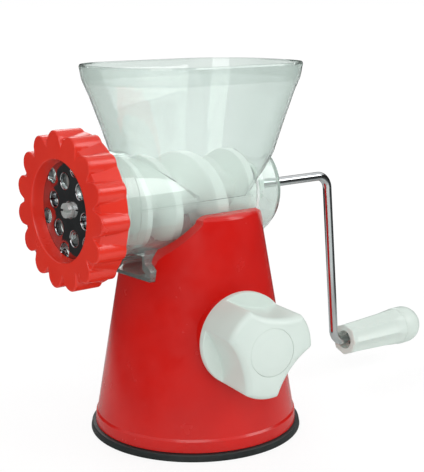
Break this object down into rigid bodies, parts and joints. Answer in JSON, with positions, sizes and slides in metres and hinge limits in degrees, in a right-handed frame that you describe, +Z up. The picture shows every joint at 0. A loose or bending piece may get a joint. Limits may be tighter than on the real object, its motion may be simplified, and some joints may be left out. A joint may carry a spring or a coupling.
{
  "type": "hand crank meat grinder",
  "caption": "Hand crank meat grinder: clear hopper and barrel with auger, blade and perforated plate, lobed locking ring, cranked rod with grip, and a red cone base with a suction lock.",
  "frame": {"origin": "centre of the rubber pad's underside, on the table", "axes": "+Z up, barrel along X with its outlet towards -X and the crank towards +X, lock knob towards -Y"},
  "size_m": [0.326, 0.1688, 0.2396],
  "materials": {
    "red_plastic": "glossy moulded ABS",
    "ring_plastic": "satin moulded polypropylene",
    "clear_plastic": "clear moulded polystyrene",
    "white_plastic": "satin moulded plastic",
    "grey_plastic": "matt moulded plastic",
    "pad_rubber": "soft dark rubber",
    "blade_steel": "ground stainless steel",
    "plate_steel": "polished stainless steel",
    "bracket_steel": "zinc-plated sheet steel",
    "rod_chrome": "bright chrome plate"
  },
  "bodies": {
    "stand": {"base_shell": "red_plastic", "base_plate": "grey_plastic", "base_plate_screws": "bracket_steel", "suction_pad": "pad_rubber", "cam_bracket": "bracket_steel", "bracket_screws": "bracket_steel", "shaft_bush": "white_plastic", "grinder_body": "clear_plastic", "rear_bush": "white_plastic", "thrust_washer": "grey_plastic"},
    "crank": {"auger": "white_plastic", "drive_socket": "bracket_steel", "auger_spindle": "blade_steel", "cutting_blade": "blade_steel", "crank_rod": "rod_chrome", "grip_washer": "bracket_steel"},
    "grip": {"crank_grip": "white_plastic", "grip_cap": "white_plastic"},
    "lock": {"lock_shaft": "bracket_steel", "lock_knob": "white_plastic", "knob_cap": "white_plastic", "knob_screw": "bracket_steel"},
    "lifter": {"pad_insert": "grey_plastic", "lift_yoke": "white_plastic"},
    "outlet": {"grinding_plate": "plate_steel"},
    "ring": {"locking_ring": "ring_plastic"}
  },
  "joints": [
    {"name": "crank_spin", "type": "hinge", "parent": "stand", "child": "crank", "pos_m": [0, 0, 0.156], "axis": [-1, 0, 0], "continuous": true},
    {"name": "grip_spin", "type": "hinge", "parent": "crank", "child": "grip", "pos_m": [0.18, 0, 0.03], "axis": [1, 0, 0], "continuous": true},
    {"name": "lock_turn", "type": "hinge", "parent": "stand", "child": "lock", "pos_m": [0, 0, 0.0748], "axis": [-0.165, -0.9863, 0], "range_deg": [0, 90]},
    {"name": "pad_lift", "type": "slide", "parent": "stand", "child": "lifter", "axis": [0, 0, 1], "range_m": [0, 0.006], "deforming": ["suction_pad"]},
    {"name": "plate_slide", "type": "slide", "parent": "stand", "child": "outlet", "axis": [-1, 0, 0], "range_m": [0, 0.009]},
    {"name": "ring_unscrew", "type": "hinge", "parent": "outlet", "child": "ring", "pos_m": [-0.09, 0, 0.156], "axis": [-1, 0, 0], "range_deg": [0, 720]}
  ],
  "couplings": [
    {"joint": "pad_lift", "follows": "lock_turn", "m_per_rad": 0.0038197},
    {"joint": "plate_slide", "follows": "ring_unscrew", "m_per_rad": 0.0007162}
  ]
}
